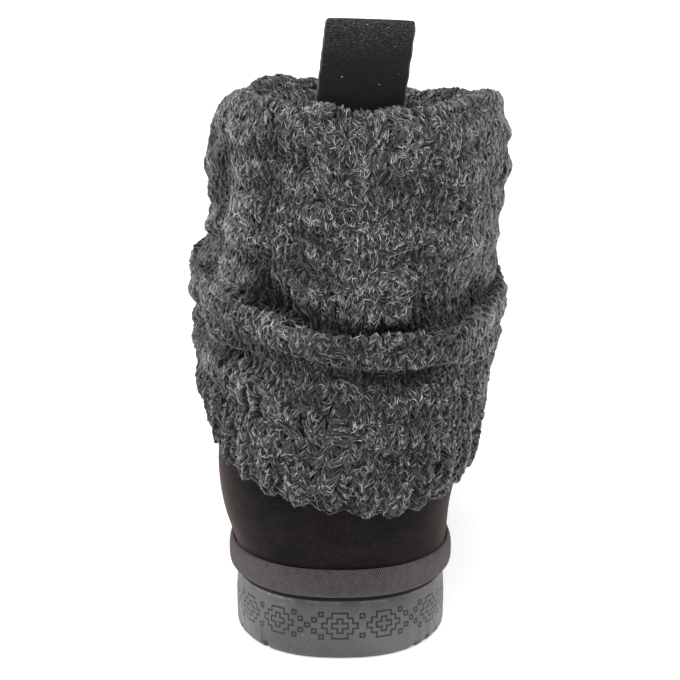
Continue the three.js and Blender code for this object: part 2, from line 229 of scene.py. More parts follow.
def through(places, values, at):
    """A smooth value at a place between given ones, as the part's source has it."""
    places = np.asarray(places, float)
    values = np.asarray(values, float)
    last = len(places) - 1
    i = np.clip(np.searchsorted(places, at, side="left") - 1, 0, last - 1)
    low, high = np.maximum(np.arange(last + 1) - 1, 0), np.minimum(np.arange(last + 1) + 1, last)
    slope = (values[high] - values[low]) / (places[high] - places[low])
    span = places[i + 1] - places[i]
    u = np.clip((at - places[i]) / span, 0, 1)
    rest = 1 - u
    return ((1 + 2 * u) * rest * rest * values[i] + u * u * (3 - 2 * u) * values[i + 1]
            + u * rest * span * (rest * slope[i] - u * slope[i + 1]))


plan_at = [0, 0.18, 0.43, 0.7, 1]
plan_centre = np.array([0, 0, -0.02, -0.01, 0.08]) * ball_width
plan_half = [heel_width * 0.5, heel_width * 0.5, waist_width * 0.5, ball_width * 0.5,
             ball_width * 0.47]


def smooth(low, high, value):
    u = np.clip((value - low) / (high - low), 0, 1)
    return u * u * (3 - 2 * u)


def rounding(share):
    """How much of its width the sole keeps where heel and toe round off."""
    back = np.maximum(0, 1 - share / heel_round)
    front = np.maximum(0, 1 - (1 - share) / toe_round)
    return ((1 - back ** heel_power) ** (1 / heel_power)
            * (1 - front ** toe_power) ** (1 / toe_power))


def length_share(turn):
    return (1 - np.cos(turn)) / 2


def plan_point(turn):
    share = length_share(turn)
    half = through(plan_at, plan_half, share) * rounding(share)
    side = -np.sign(np.sin(turn))
    return np.stack([through(plan_at, plan_centre, share) + side * half, share * sole_length], -1)


def outline(turn, out):
    """A point of the sole's outline, moved outwards. Turn is 0 at the heel and a quarter at the
    outer side."""
    near = 0.02
    along = plan_point(turn + near) - plan_point(turn - near)
    along = along / np.linalg.norm(along, axis=-1, keepdims=True)
    outwards = np.stack([-along[..., 1], along[..., 0]], -1)
    return plan_point(turn) + outwards * np.asarray(out)[..., None]


def sole_top(share):
    slope = smooth(drop_from, drop_to, share)
    spring = (np.maximum(0, share - spring_from) / (1 - spring_from)) ** 2
    return heel_thickness + (ball_thickness - heel_thickness) * slope + toe_spring * spring


def mesh_object(name, points, faces, *materials):
    """A smooth mesh of points in millimetres in the maker's frame, put in the part's frame."""
    mesh = bpy.data.meshes.new(name)
    mesh.from_pydata(((points + centring) / 1000).tolist(), [], faces)
    mesh.update()
    for material in materials:
        mesh.materials.append(material)
    mesh.shade_smooth()
    made = bpy.data.objects.new(name, mesh)
    bpy.context.scene.collection.objects.link(made)
    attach(made, "root")
    return made


def node_copy(node, name):
    """A copy of a CAD node with its loose triangles joined."""
    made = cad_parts[node].copy()
    made.data = made.data.copy()
    made.name = name
    made.data.materials.clear()
    bpy.context.scene.collection.objects.link(made)
    bpy.ops.object.select_all(action="DESELECT")
    made.select_set(True)
    bpy.context.view_layer.objects.active = made
    bpy.ops.object.mode_set(mode="EDIT")
    bpy.ops.mesh.select_all(action="SELECT")
    bpy.ops.mesh.remove_doubles(threshold=0.000002)
    bpy.ops.object.mode_set(mode="OBJECT")
    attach(made, "root")
    return made


def wind_round(made):
    """A UV map in millimetres: the way round the sole's outline from the heel, and the height.
    The attribute below_top is the height over the sole's top edge."""
    half_steps = 720
    turns = np.linspace(-np.pi, np.pi, 2 * half_steps + 1)
    line = outline(turns, np.zeros_like(turns))
    steps = np.linalg.norm(np.diff(line, axis=0), axis=1)
    way = np.concatenate([[0], np.cumsum(steps)])
    way -= way[half_steps]
    mesh = made.data
    co = np.zeros(len(mesh.vertices) * 3)
    mesh.vertices.foreach_get("co", co)
    co = co.reshape(-1, 3) * 1000 - centring
    nearest = np.array([np.argmin(np.sum((line - point[:2]) ** 2, axis=1)) for point in co])
    along = way[nearest]
    total = way[-1] - way[0]
    corners = np.zeros(len(mesh.loops), int)
    mesh.loops.foreach_get("vertex_index", corners)
    below = co[:, 2] - sole_top(length_share(turns[nearest]))
    values = np.stack([along[corners], co[corners, 2]], -1)
    for face in mesh.polygons:
        reach = values[face.loop_start:face.loop_start + face.loop_total, 0]
        if reach.max() - reach.min() > total / 2:
            reach[reach < 0] += total
    uv = mesh.uv_layers.new(name="Wall")
    uv.data.foreach_set("uv", values.ravel())
    mesh.attributes.new("below_top", "FLOAT", "POINT").data.foreach_set("value", below)


rubber = Finish("dark_rubber")
way = rubber.node("UVMap", {"uv_map": "Wall"})
along, height, _ = rubber.parts(way)
motif_period = 36.1
motif_gap = 14.6
band_height = 11.4
line_width = 0.31
# Half widths and half heights of the rectangles that make a stepped cross, and of those in it
outer_steps = [(5.8, 0.85), (4.2, 2.6), (2.5, 4.3)]
inner_steps = [(2.6, 0.85), (0.85, 2.4)]
square_half = (0.7, 0.66)
square_pitch = (2.3, 1.9)
pair_rise = 3.3


def box_edge(x, y, half_x, half_y):
    """How far a place is outside a rectangle, and less than nothing inside."""
    return (abs(x) - half_x).most(abs(y) - half_y)


def least_of(fields):
    return functools.reduce(Field.least, fields)


def stepped_cross(x, y):
    outer = least_of([box_edge(x, y, *half) for half in outer_steps])
    inner = least_of([box_edge(x, y, *half) for half in inner_steps])
    return abs(outer).least(abs(inner))


def squares(x, y, places):
    return least_of([abs(box_edge(x - across, y - up, *square_half)) for across, up in places])


run = (motif_period / 2 - along) % motif_period - motif_period / 2
second = (run - motif_gap + motif_period / 2) % motif_period - motif_period / 2
rise = height - band_height
pair_places = [(motif_gap / 2, pair_rise), (motif_gap / 2, -pair_rise)]
between = (motif_gap + motif_period) / 2 - motif_period
diagonals = [(0, 0), (-1, 1), (1, 1), (-1, -1), (1, -1), (-2, 2), (2, 2), (-2, -2), (2, -2)]
diagonal_places = [(between + across * square_pitch[0], up * square_pitch[1])
                   for across, up in diagonals]
lines = least_of([stepped_cross(run, rise), stepped_cross(second, rise),
                  squares(run, rise, pair_places), squares(run, rise, diagonal_places)])
engraved = 1 - lines.ease(line_width * 0.6, line_width * 1.2)
scuffed = rubber.noise(700, 4, roughness=0.65)
cloudy = rubber.noise(60, 3)
dull = rubber.blend(cloudy.ease(0.3, 0.7), shade(68, 68, 71), shade(85, 85, 89))
speckle = rubber.noise(1900, 2).ease(0.66, 0.74)
below_top = rubber.node("Attribute", {"attribute_name": "below_top"}, None, "Fac")
# Painted highlight: a pale band just under the sole's top edge, broken into patches by noise. The
# pale specks and scuffs are the rubber's own wear.
painted_rim_highlight = below_top.ease(-3.3, -2.7) * (1 - below_top.ease(-2.5, -2.3))
rim_highlight_and_specks = (painted_rim_highlight * cloudy.ease(0.45, 0.6) * scuffed.ease(0.42, 0.55)).most(speckle * 0.6)
# Painted shade: the engraved lines are darkened as shade in their grooves, and the dark line under
# the tape is a painted shadow of its overhang.
seam_shadow = below_top.ease(-2.2, -2.0)
painted_groove_and_seam_shade = engraved.most(seam_shadow)
worn_and_highlit = rubber.blend(rim_highlight_and_specks.most(scuffed.ease(0.6, 0.75) * 0.5), dull, shade(132, 132, 134))
grain = rubber.relief(scuffed, 0.05)
rubber.surface(
    Base_Color=rubber.blend(painted_groove_and_seam_shade * 0.95, worn_and_highlit, shade(8, 8, 10)),
    Roughness=0.42 + 0.2 * scuffed + 0.4 * seam_shadow,
    Normal=rubber.relief(1 - engraved, 0.35, grain),
    Coat_Weight=0.15 * cloudy * (1 - painted_groove_and_seam_shade),
    Coat_Roughness=0.3,
)

outsole = node_copy("outsole", "outsole_moulding")

# Fine grooves of the tread that run out at the heel's lower edge: their turns in degrees, and half
# the sizes of the block that cuts one, across, outwards and up
groove_turns = [22.5, 36, -28.5]
groove_half = np.array([1.2, 7, 2.6])
square_corners = [(-1, -1), (1, -1), (1, 1), (-1, 1)]
block_corners = np.array([(x, y, z) for z in (-1, 1) for x, y in square_corners]) * groove_half
block_faces = [(3, 2, 1, 0), (4, 5, 6, 7), (0, 1, 5, 4), (1, 2, 6, 5), (2, 3, 7, 6), (3, 0, 4, 7)]
block_points = []
for degrees in groove_turns:
    foot = outline(np.radians(degrees), 0)
    outwards = outline(np.radians(degrees), 1) - foot
    beside = np.array([outwards[1], -outwards[0]])
    flat = foot + block_corners[:, :1] * beside + block_corners[:, 1:2] * outwards
    block_points.append(np.column_stack([flat, block_corners[:, 2]]))
all_faces = [tuple(len(block_corners) * i + corner for corner in face)
             for i in range(len(groove_turns)) for face in block_faces]
block_mesh = bpy.data.meshes.new("groove_blocks")
block_mesh.from_pydata(((np.concatenate(block_points) + centring) / 1000).tolist(), [], all_faces)
blocks = bpy.data.objects.new("groove_blocks", block_mesh)
bpy.context.scene.collection.objects.link(blocks)
cut = outsole.modifiers.new("fine_grooves", "BOOLEAN")
cut.object = blocks
cut.operation = "DIFFERENCE"
cut.solver = "EXACT"
bpy.ops.object.modifier_apply(modifier=cut.name)
bpy.data.objects.remove(blocks)
outsole.data.materials.append(rubber.material)
wind_round(outsole)
bpy.ops.object.shade_smooth_by_angle(angle=np.radians(32))
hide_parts("outsole")


# Insole
# A thick sock of dark pile glued to a board, which lies on the sole inside the upper.

insole = node_copy("insole", "insole_sock")
pile = Finish("dark_pile")
tufts = pile.noise(480, 4, roughness=0.6)
pile.surface(
    Base_Color=pile.blend(tufts.ease(0.3, 0.7), shade(16, 15, 17), shade(72, 69, 72)),
    Roughness=0.95,
    Specular_IOR_Level=0.1,
    Normal=pile.relief(tufts, 2.0),
    Sheen_Weight=0.2,
)
insole.data.materials.append(pile.material)
bpy.ops.object.shade_smooth_by_angle(angle=np.radians(40))
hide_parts("insole")


# Upper
# Black suede lasted over the foot and drawn up into a straight shaft, with a pile lining inside.

upper_wall = 3
upper_swell = 6.5
feather_inset = 1.4
collar_height = 179
collar_width = 97
collar_depth = 113
collar_setback = 1.5
knit_wall = 3
rim_drop = 8.5
rim_height = collar_height - rim_drop
shaft_half_width = collar_width / 2 - knit_wall - clearance
shaft_half_depth = collar_depth / 2 - knit_wall - clearance
shaft_middle = collar_setback + collar_depth / 2
shaft_lean = 6.4
last_ring = 10
ring_at = np.arange(last_ring + 1)
feather = -feather_inset / upper_swell

# Each table has a row for the back, one for the sides and one for the front, and a column for each
# ring from the feather edge to the rim: how high it is, how much it is shaft, and how far out it is
rise_rows = [
    [0, 0.03, 0.06, 0.14, 0.23, 0.32, 0.41, 0.5, 0.61, 0.77, 1],
    [0, 0.03, 0.06, 0.13, 0.215, 0.3, 0.39, 0.48, 0.6, 0.77, 1],
    [0, 0.03, 0.06, 0.135, 0.225, 0.29, 0.365, 0.455, 0.58, 0.75, 1],
]
tube_rows = [
    [0, 0, 0, 0, 0.04, 0.12, 0.28, 0.5, 0.76, 0.95, 1],
    [0, 0, 0, 0.02, 0.1, 0.25, 0.46, 0.67, 0.86, 0.98, 1],
    [0, 0, 0, 0.012, 0.1, 0.31, 0.55, 0.765, 0.92, 0.985, 1],
]
out_rows = [
    [feather, -0.08, 0.08, 0.26, 0.3, 0.2, 0.1, 0, 0, 0, 0],
    [feather, -0.06, 0.12, 0.7, 1.4, 1.55, 1.4, 0.9, 0, 0, 0],
    [feather, -0.06, 0.06, 0.14, -0.1, -0.4, -0.4, -0.2, 0, 0, 0],
]
lean_row = [0, 0, 0, -0.2, -0.1, 0.1, 0.24, 0.38, 0.48, 0.76, 1]


def upper_point(turn, ring):
    back = np.maximum(0, np.cos(turn)) ** 2
    front = np.maximum(0, -np.cos(turn)) ** 2
    side = np.sin(turn) ** 2

    def mix(rows):
        return sum(w * through(ring_at, row, ring) for w, row in zip((back, side, front), rows))

    foot = outline(turn, mix(out_rows) * upper_swell)
    tube = mix(tube_rows)
    x = foot[..., 0] * (1 - tube) - shaft_half_width * np.sin(turn) * tube
    y = foot[..., 1] * (1 - tube) + (shaft_middle - shaft_half_depth * np.cos(turn)) * tube
    low = sole_top(length_share(turn)) + clearance
    z = low + (rim_height - low) * mix(rise_rows)
    return np.stack([x + shaft_lean * through(ring_at, lean_row, ring), y, z], -1)


def upper_normal(turn, ring):
    near = 0.03
    above = upper_point(turn, np.minimum(last_ring, ring + near))
    up = above - upper_point(turn, np.maximum(0, ring - near))
    along = upper_point(turn + near, ring) - upper_point(turn - near, ring)
    across = np.cross(up, along)
    return across / np.linalg.norm(across, axis=-1, keepdims=True)


def ring_faces(rows, steps, closed):
    """Quads between rows of points that run round the boot."""
    row, i = np.meshgrid(np.arange(rows if closed else rows - 1), np.arange(steps), indexing="ij")
    low, high, after = row * steps, (row + 1) % rows * steps, (i + 1) % steps
    return np.stack([low + i, high + i, high + after, low + after], -1).reshape(-1, 4).tolist()


suede = Finish("black_suede")
nap = suede.noise(1400, 5, roughness=0.7)
brushed = suede.noise(70, 4, suede.stretched(suede.place, 1.0, 1.0, 2.2), 0.6)
blotch = suede.noise(28, 3, suede.stretched(suede.place, 1.0, 1.0, 1.6), 0.55)
tone = suede.blend(blotch.ease(0.42, 0.6), shade(14, 13, 17), shade(24, 19, 19))
napped = suede.blend(brushed.ease(0.4, 0.7) * 0.6, tone, shade(31, 27, 29))
tipped = suede.blend(nap.ease(0.45, 0.75) * 0.6, napped, shade(48, 42, 43))
speck = suede.noise(900, 1).ease(0.80, 0.86)
suede.surface(
    Base_Color=suede.blend(speck * 0.5, tipped, shade(150, 140, 132)),
    Roughness=0.92,
    Normal=suede.relief(nap, 0.10),
    Specular_IOR_Level=0.12,
    Sheen_Weight=0.7,
    Sheen_Roughness=0.3,
    Sheen_Tint=shade(150, 130, 122),
)

upper_steps = 168
rings = np.concatenate([[0, 1, 2], np.arange(2.25, last_ring + 0.01, 0.25)])
turn_grid, ring_grid = np.meshgrid(np.arange(upper_steps) / upper_steps * 2 * np.pi, rings)
outer_skin = upper_point(turn_grid, ring_grid)
skin_normal = upper_normal(turn_grid, ring_grid)
inner_skin = outer_skin - skin_normal * upper_wall
inner_skin[0, :, 2] = outer_skin[0, :, 2]
inner_skin[-1, :, 2] = outer_skin[-1, :, 2]
skins = np.concatenate([outer_skin, inner_skin[::-1]]).reshape(-1, 3)
upper_faces = ring_faces(2 * len(rings), upper_steps, True)
upper = mesh_object("upper_suede", skins, upper_faces, suede.material, pile.material)
inside = np.zeros(len(upper.data.polygons), int)
inside[len(rings) * upper_steps:] = 1
upper.data.polygons.foreach_set("material_index", inside)
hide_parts("upper")


# Tape
# A woven cotton tape glued round the joint of upper and sole, its twill running slantwise.

welt_height = 8.6
welt_proud = 2.5
# The tape's section: shares of its height, and of how far it stands out, and on its inner face
# shares of its height
welt_up = [-0.09, 0.06, 0.45, 0.8, 1]
welt_out = [0.3, 0.85, 1, 0.92, 0.6]
tape_inner_up = [1, 0.5, 0.03]


def stand_off(turn, height, distance):
    """A point at a height that stands off the upper's outer face. Above the rim it goes straight
    up."""
    halvings = 18
    turn, height, distance = np.broadcast_arrays(turn, height, distance)
    low, high = np.zeros(turn.shape), np.full(turn.shape, float(last_ring))
    for _ in range(halvings):
        middle = (low + high) / 2
        z = upper_point(turn, middle)[..., 2] + upper_normal(turn, middle)[..., 2] * distance
        below = z < height
        low, high = np.where(below, middle, low), np.where(below, high, middle)
    ring = (low + high) / 2
    point = upper_point(turn, ring) + upper_normal(turn, ring) * distance[..., None]
    point[..., 2] = height
    return point


twill = Finish("woven_tape")
weft, warp, _ = twill.parts(twill.node("UVMap", {"uv_map": "Wall"}))
ribs = ((weft * 1.25 + warp * 0.9) * 2 * np.pi).sine()
threads = ((weft * 2.2 - warp * 1.3) * 2 * np.pi).sine()
fluff = twill.noise(500, 4)
weave = (ribs * 0.4 + threads * 0.24 + 0.2 + fluff * 0.6).most(0.0)
twill.surface(
    Base_Color=twill.blend(weave, shade(20, 17, 18), shade(100, 92, 94)),
    Roughness=0.9,
    Normal=twill.relief(weave, 0.22, twill.relief(fluff, 0.1)),
    Specular_IOR_Level=0.2,
    Sheen_Weight=0.25,
    Sheen_Tint=shade(170, 160, 160),
)

tape_steps = 336
tape_outer_rows = 14
tape_turns = np.arange(tape_steps) / tape_steps * 2 * np.pi
tape_foot = sole_top(length_share(tape_turns)) + clearance
tape_rows = []
for up in np.linspace(welt_up[0], 1, tape_outer_rows):
    edge = outline(tape_turns, np.full(tape_steps, through(welt_up, welt_out, up) * welt_proud))
    tape_rows.append(np.concatenate([edge, (tape_foot + up * welt_height)[:, None]], -1))
for up in tape_inner_up:
    tape_rows.append(stand_off(tape_turns, tape_foot + up * welt_height, clearance))
tape_faces = ring_faces(len(tape_rows), tape_steps, True)
tape = mesh_object("tape_binding", np.concatenate(tape_rows), tape_faces, twill.material)
wind_round(tape)
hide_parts("welt_tape")


# Knitted sleeve
# A cable-knitted tube of marled grey wool with a ribbed hem, slouched into one roll round the ankle
# and turned in over the shaft's rim. Every stitch is modelled in yarn over a dark backing.

columns = 96
stitch_rows = 76
rib_rows = 8
row_turns = 4 * columns
slouch_turn = 0.2

# Heights as shares of the collar's at the back, outer side, front and inner side, and how far the
# face stands off the upper at the back and the sides, in knit walls
sleeve_rows = np.array([
    [0.27, 0.4, 0.5, 0.39, 0.5, 0.5],
    [0.28, 0.41, 0.51, 0.4, 1, 1.1],
    [0.345, 0.45, 0.55, 0.43, 1.6, 2.4],
    [0.44, 0.5, 0.6, 0.47, 2.1, 3.2],
    [0.528, 0.55, 0.64, 0.495, 2.1, 3],
    [0.545, 0.575, 0.66, 0.513, 2.8, 3.2],
    [0.575, 0.63, 0.695, 0.565, 3.3, 3.4],
    [0.601, 0.675, 0.73, 0.625, 2.8, 2.8],
    [0.578, 0.655, 0.708, 0.603, 2, 1.9],
    [0.612, 0.688, 0.745, 0.637, 1.4, 1.3],
    [0.7, 0.77, 0.8, 0.73, 1.35, 1.15],
    [0.84, 0.85, 0.86, 0.84, 1.2, 1.1],
    [0.945, 0.915, 0.935, 0.93, 1, 1],
    [0.983, 0.957, 0.972, 0.972, 0.5, 0.5],
])
crown_heights = [1, 0.98, 0.99, 0.992]
turn_in = [(0.94, -1.0), (0.885, -1.0), (0.83, -0.9)]


def slouched(turn):
    return turn + slouch_turn * (1 + np.cos(turn)) / 2


def side_share(turn):
    place = slouched(turn)
    return np.abs(np.sin(place)) ** np.where(np.cos(place) > 0, 1.8, 2.5)


def height_at(turn, back, left, front, right):
    place = slouched(turn)
    nearer = np.where(np.cos(place) > 0, back, front)
    side = np.where(np.sin(place) > 0, left, right)
    return collar_height * (nearer + (side - nearer) * side_share(turn))


round_turns = np.arange(row_turns) / row_turns * 2 * np.pi


def round_waves(waves):
    """Soft waves round the boot, each with its turn and half width in degrees and its height."""
    away = [(np.degrees(round_turns) - degrees + 180) % 360 - 180 for degrees, _, _ in waves]
    return sum(height * np.exp(-(a / wide) ** 2) for a, (_, wide, height) in zip(away, waves))


rim_lift = round_waves([(-145, 28, -3.2), (-62, 9, 1.4), (-40, 8, -0.8), (38, 7, 1.6),
                        (24, 7, -0.8), (62, 12, 3.2), (150, 10, 1.2), (92, 10, 0.4),
                        (120, 9, 0.8), (-4, 26, -3.0)])
# The hem has ridden up a little, most of all at the outer back
hem_rise = 1.2 + round_waves([(44, 22, 3.2)])
# The hem's rise fades out over the first rows, and the rim's lift comes in over the last ones
fade_rows = 3
rim_from = 10
keys = []
for i, (*heights, stand, flare) in enumerate(sleeve_rows):
    walls = stand + (flare - stand) * side_share(round_turns)
    risen = height_at(round_turns, *heights) + hem_rise * max(0, 1 - i / fade_rows)
    risen = risen + rim_lift * max(0, i / fade_rows - rim_from / fade_rows)
    keys.append(stand_off(round_turns, risen, clearance + walls * knit_wall))
inner_back = -upper_wall - clearance
crown = height_at(round_turns, *crown_heights) + rim_lift
keys.append(stand_off(round_turns, crown, -upper_wall / 2))
inside_rim = height_at(round_turns, *sleeve_rows[-1][:4]) + rim_lift
keys.append(stand_off(round_turns, inside_rim, inner_back - 0.5 * knit_wall))
for share, walls in turn_in:
    keys.append(stand_off(round_turns, share * collar_height, inner_back + walls * knit_wall))
keys = np.array(keys)

# The fabric's own grid: four cells to a stitch each way, evenly spaced along the fabric
fine_steps = 16
fine = np.linspace(0, len(keys) - 1, fine_steps * (len(keys) - 1) + 1)
span = np.minimum(fine.astype(int), len(keys) - 2)
u = (fine - span)[:, None, None]
before, after = keys[np.maximum(span - 1, 0)], keys[np.minimum(span + 2, len(keys) - 1)]
start, end = keys[span], keys[span + 1]
curve = start + 0.5 * u * (end - before + u * (2 * before - 5 * start + 4 * end - after
                                               + u * (3 * (start - end) + after - before)))
curve_steps = np.linalg.norm(np.diff(curve, axis=0), axis=2)
lengths = np.concatenate([np.zeros((1, row_turns)), np.cumsum(curve_steps, 0)])
cells = 4
levels = np.linspace(0, 1, stitch_rows * cells + 1)
fabric = np.empty((len(levels), row_turns, 3))
for i in range(row_turns):
    share = lengths[:, i] / lengths[-1, i]
    for axis in range(3):
        fabric[:, i, axis] = np.interp(levels, share, curve[:, i, axis])
up_way = np.gradient(fabric, axis=0)
round_way = np.roll(fabric, -1, axis=1) - np.roll(fabric, 1, axis=1)
fabric_normal = np.cross(up_way, round_way)
fabric_normal /= np.linalg.norm(fabric_normal, axis=2, keepdims=True)


def on_grid(grid, column, row):
    """Reads a grid between its points. Columns close on themselves."""
    i = (column % columns) * cells
    j = np.clip(row, 0, stitch_rows - 0.001) * cells
    i0, j0 = np.floor(i).astype(int), np.floor(j).astype(int)
    a, b = (i - i0)[..., None], (j - j0)[..., None]
    i0, i1, j1 = i0 % row_turns, (i0 + 1) % row_turns, j0 + 1
    return ((grid[j0, i0] * (1 - a) + grid[j0, i1] * a) * (1 - b)
            + (grid[j1, i0] * (1 - a) + grid[j1, i1] * a) * b)


# Grids of random numbers for lumps and wander, a few stitches to a cell, and for smaller lumps
lump_columns, lump_rows = 4, 5
lump_shape = (stitch_rows // lump_rows + 3, columns // lump_columns)
lump_grid = rng.normal(0, 1, lump_shape)
wander_grid = rng.normal(0, 1, lump_shape)
small_grid = rng.normal(0, 1, (stitch_rows // 2 + 3, columns // 2))


def soft_noise(grid, column, row):
    """A smooth random number at each place, about from -1 to 1. The columns close on themselves."""
    wide = grid.shape[1]
    i = column / (columns / wide)
    j = np.clip(row, 0, stitch_rows) / (stitch_rows / (len(grid) - 3))
    i0, j0 = np.floor(i).astype(int), np.floor(j).astype(int)
    a, b = smooth(0, 1, i - i0), smooth(0, 1, j - j0)
    low = grid[j0, i0 % wide] * (1 - a) + grid[j0, (i0 + 1) % wide] * a
    high = grid[j0 + 1, i0 % wide] * (1 - a) + grid[j0 + 1, (i0 + 1) % wide] * a
    return (low * (1 - b) + high * b) * 0.8


# The cables: in each eight columns, here and there two stitches cross over the two beside them
cable_columns = 8
cross_rows = 7
cable_offsets = rng.integers(0, cross_rows, columns // cable_columns)
puff_phases = rng.uniform(0, 1, columns // cable_columns)
crossed = rng.random((columns // cable_columns, stitch_rows // cross_rows + 2)) < 0.4


def strand(column, row, at_column):
    """Where a stitch of a cable has moved to: its column, and how far it stands out."""
    lane = at_column % cable_columns
    cable = (at_column // cable_columns).astype(int) % len(cable_offsets)
    phase = (row - cable_offsets[cable]) % cross_rows
    turn_row = np.clip((row - cable_offsets[cable]) // cross_rows, -1, crossed.shape[1] - 2)
    chosen = crossed[cable, turn_row.astype(int) + 1]
    gone = smooth(2.0, 5.0, phase)
    crossing = gone * chosen
    swell = np.sin(np.pi * gone) * chosen
    # Columns 2 and 3 cross over columns 4 and 5, and the ones beside them lean after them
    over = (lane >= 2) & (lane < 4)
    under = (lane >= 4) & (lane < 6)
    plain = smooth(rib_rows - 1, rib_rows + 2, row)
    lean = np.where((lane >= 1) & (lane < 2), 0.4, np.where((lane >= 6) & (lane < 7), -0.4, 0))
    shift = (np.where(over, 1.4, np.where(under, -1.4, 0)) + lean) * crossing * plain
    stand = np.where(over, 0.7, np.where(under, -0.1, 0)) * swell * plain
    return column + shift + 0.22 * soft_noise(wander_grid, column, row), stand


def key_row(key):
    """The stitch row at which a key row of the sleeve lies, round the boot."""
    fine_row = int(round(key * fine_steps))
    return lengths[fine_row] / lengths[-1] * stitch_rows


def row_near(key, column):
    known = key_row(key)
    return np.interp(column % columns, np.arange(row_turns + 1) / cells, np.append(known, known[0]))


# Troughs and ridges of the slouch that run all round: key row, depth in millimetres and half height
slouch_folds = [(4.2, -1.9, 1.6), (6.7, 0.8, 1.4), (8.9, -1.4, 1.2)]
# Hollows at single places: turn in degrees, key row, depth, half width in degrees and half height
slouch_hollows = [(28, 9.0, -4.6, 7, 2.8), (-52, 9.3, -3.2, 10, 4.0), (-28, 9.4, -2.0, 9, 3.0),
                  (48, 8.7, 7.0, 12, 2.4), (84, 8.7, 4.0, 20, 2.2), (38, 4.2, -1.6, 16, 2.6),
                  (10, 7.0, -0.8, 8, 1.6), (-12, 7.4, 0.9, 7, 1.5), (24, 7.2, 0.9, 6, 1.5),
                  (-28, 3.9, -1.0, 12, 2.0), (70, 4.6, -1.6, 12, 3.0)]
# Key rows of the roll's edge and of the crease above it, and the turn and half width in degrees of
# the place where the crease is shallow
roll_key = 7.5
crease_key = 8.6
shallow_turn = 76
shallow_half = 34

# Columns from a cable's edge to its ditch, the ditch's half width, and rows from puff to puff
ditch_place = 0.4
ditch_half = 0.8
puff_rows = 5.4


def in_fold(column, row):
    """1 in the depth of the crease above the roll, where little light comes."""
    filled = np.exp(-((column / columns * 360 - shallow_turn) / shallow_half) ** 2)
    return np.exp(-((row - row_near(crease_key, column)) / 1.3) ** 2) * (1 - filled)


def relief(column, row):
    """How far the fabric stands out from its plain surface, in millimetres."""
    lane = column % cable_columns
    cable = np.floor(column / cable_columns)
    ditch = sum(np.exp(-((lane - place) / ditch_half) ** 2)
                for place in (ditch_place, cable_columns + ditch_place))
    belly = 0.5 * np.sin(np.pi * np.clip((lane - 1) / (cable_columns - 1), 0, 1))
    puff_phase = puff_phases[cable.astype(int) % len(puff_phases)]
    puffed = np.sin(2 * np.pi * (row / puff_rows + puff_phase))
    puff = 0.95 * puffed * np.sin(np.pi * lane / cable_columns)
    cabled = belly + puff - 0.35 * ditch
    ribbed = 1.15 * np.cos(np.pi * (column - 0.5))
    plain = smooth(rib_rows - 1.5, rib_rows + 1.5, row)
    found = ribbed * (1 - plain) + cabled * plain
    found = found + soft_noise(lump_grid, column, row) + 0.45 * soft_noise(small_grid, column, row)
    facing = 0.6 + 0.4 * np.cos((column / columns - 0.02) * 2 * np.pi)
    for key, depth, half in slouch_folds:
        found = found + facing * depth * np.exp(-((row - row_near(key, column)) / half) ** 2)
    for degrees, key, depth, wide, half in slouch_hollows:
        away = (column / columns * 360 - degrees + 180) % 360 - 180
        above = row - row_near(key, column)
        found = found + depth * np.exp(-(away / wide) ** 2 - (above / half) ** 2)
    # The roll is thin, so the wall of the crease can't sink far into it
    return np.maximum(found, -6 + 5.6 * np.exp(-((row - row_near(roll_key, column)) / 1.5) ** 4))


def tubes(paths, normals, radii, sides):
    """Closed yarn round paths of shape (count, points, 3). Gives the points and the faces."""
    count, knots, _ = paths.shape
    tangent = np.gradient(paths, axis=1)
    tangent /= np.linalg.norm(tangent, axis=2, keepdims=True)
    across = np.cross(tangent, normals)
    across /= np.linalg.norm(across, axis=2, keepdims=True)
    out = np.cross(across, tangent)
    angle = np.arange(sides) / sides * 2 * np.pi
    ring = (across[:, :, None] * np.cos(angle)[None, None, :, None]
            + out[:, :, None] * np.sin(angle)[None, None, :, None])
    points = paths[:, :, None] + ring * radii[:, :, None, None]
    n, k, s = np.meshgrid(np.arange(count), np.arange(knots - 1), np.arange(sides), indexing="ij")
    base = n * knots * sides
    here, there, beside = base + k * sides, base + (k + 1) * sides, (s + 1) % sides
    quads = np.stack([here + s, there + s, there + beside, here + beside], -1).reshape(-1, 4)
    first_end = np.arange(count)[:, None] * knots * sides + np.arange(sides)
    caps = np.concatenate([first_end, first_end[:, ::-1] + (knots - 1) * sides])
    return points.reshape(-1, 3), quads.tolist() + caps.tolist()


yarn_radius = 0.92
yarn_sides = 5
leg_length = 4
# Points of a knit leg from the foot of its V outwards, and of a purl arc: columns, rows and
# millimetres out
leg_shape = np.array([[0.03, -0.3, -0.7], [0.16, 0.25, 0.15], [0.32, 0.8, 0.2], [0.44, 1.35, -0.7]])
purl_shape = np.array([[-0.6, 0.1, -0.5], [-0.22, 0.5, 0.2], [0.22, 0.5, 0.2], [0.6, 0.1, -0.5]])
yarn_knots = len(leg_shape)
# How unevenly a whole stitch and each of its points lie
stitch_jitter = [0.07, 0.12, 0.12]
point_jitter = [0.035, 0.04, 0.08]


def stitch_paths(column, row, shape):
    """Yarn paths of stitches that share a shape, laid on the fabric."""
    count = len(column)
    jitter = rng.normal(0, 1, (count, 1, 3)) * stitch_jitter
    jitter = jitter + rng.normal(0, 1, (count, yarn_knots, 3)) * point_jitter
    offsets = shape[None] + jitter
    at_column = column[:, None] + 0.5 + offsets[..., 0]
    at_row = row[:, None] + 0.45 + offsets[..., 1]
    moved, stand = strand(at_column, at_row, np.repeat(column[:, None], yarn_knots, 1) + 0.5)
    out = offsets[..., 2] + stand + relief(moved, at_row) - yarn_radius * 0.6
    normal = on_grid(fabric_normal, moved, at_row)
    normal /= np.linalg.norm(normal, axis=2, keepdims=True)
    return on_grid(fabric, moved, at_row) + normal * out[..., None], normal


